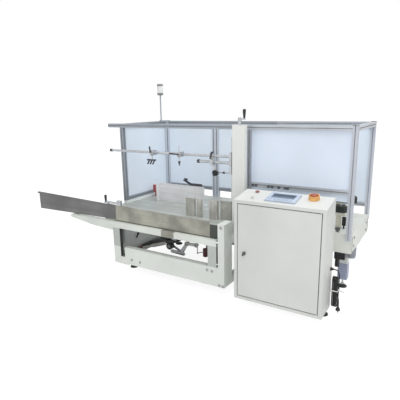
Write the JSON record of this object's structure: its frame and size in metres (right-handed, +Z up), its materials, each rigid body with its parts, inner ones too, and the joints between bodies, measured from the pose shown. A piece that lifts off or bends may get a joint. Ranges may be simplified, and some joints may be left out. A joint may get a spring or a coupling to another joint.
{
  "type": "case erector",
  "caption": "Automatic case erector on levelling feet: blank magazine with guide plates, guarded forming bay, crank-set guide head, side belt lane and sloping control cabinet.",
  "frame": {"origin": "on the floor under the centre of the outline, without the power lead", "axes": "+X along the machine from the magazine to the outfeed, +Y from the operator's side to the rear, +Z up"},
  "size_m": [3.402, 1.196, 1.868],
  "materials": {
    "paint": "satin powder coat, greenish white",
    "cabinet_paint": "fine textured powder coat, warm light grey",
    "aluminium": "clear anodised",
    "frosted_panel": "frosted light blue polycarbonate",
    "stainless": "brushed",
    "zinc": "bright zinc plate",
    "black_plastic": "matte",
    "rubber": "matte",
    "red_plastic": "satin",
    "yellow_plastic": "satin",
    "screen": "satin bezel",
    "motor_paint": "satin grey enamel",
    "lamp": "translucent lens with grey caps"
  },
  "bodies": {
    "frame": {"lower_beams": "paint", "cross_beams": "paint", "base_legs": "paint", "channel_post": "paint", "upper_beams": "paint", "magazine_arms": "paint", "end_panel": "paint", "foot_plates": "paint", "foot_pads": "rubber", "foot_screws": "zinc", "outfeed_side_beams": "paint", "outfeed_end_beams": "paint", "pedestal": "paint", "cabinet_arms": "paint", "cabinet_shell": "cabinet_paint", "mounting_plate": "zinc", "touch_screen": "screen", "stop_housing": "yellow_plastic", "stop_button": "red_plastic", "start_button": "red_plastic", "front_top_rail": "aluminium", "top_rails": "aluminium", "guard_posts": "aluminium", "bottom_rails": "aluminium", "left_sill": "paint", "wall_panels": "frosted_panel", "front_guard": "aluminium", "front_panel": "frosted_panel", "column": "paint", "slide_rail": "zinc", "magazine_table": "stainless", "outfeed_table": "stainless", "front_plate": "stainless", "plate_extension": "stainless", "plate_clamp": "zinc", "clamp_handle": "black_plastic", "rear_guide": "stainless", "suction_arm": "black_plastic", "forming_plates": "stainless", "red_rollers": "red_plastic", "flap_ramp": "black_plastic", "folder_levers": "aluminium", "air_cylinder": "black_plastic", "air_units": "black_plastic", "side_belts": "rubber", "belt_beams": "aluminium", "drive_motor": "motor_paint", "signal_lamp": "lamp", "cord_gland": "black_plastic", "cord_lead": "rubber", "cord_hank": "rubber", "power_plug": "black_plastic"},
    "door": {"cabinet_door": "cabinet_paint", "door_lock": "black_plastic"},
    "hand_crank": {"crank": "zinc", "crank_grip": "black_plastic"},
    "guide": {"guide_head": "zinc", "guide_rods": "zinc", "rod_clamps": "zinc", "clamp_levers": "black_plastic"}
  },
  "joints": [
    {"name": "door_hinge", "type": "hinge", "parent": "frame", "child": "door", "pos_m": [1.573, -0.575, 0.478], "axis": [0, 0, 1], "range_deg": [0, 110]},
    {"name": "crank_turn", "type": "hinge", "parent": "frame", "child": "hand_crank", "pos_m": [0.784, -0.278, 1.48], "axis": [0, 0, 1], "continuous": true},
    {"name": "guide_height", "type": "slide", "parent": "frame", "child": "guide", "axis": [0, 0, 1], "range_m": [-0.22, 0.12]}
  ]
}
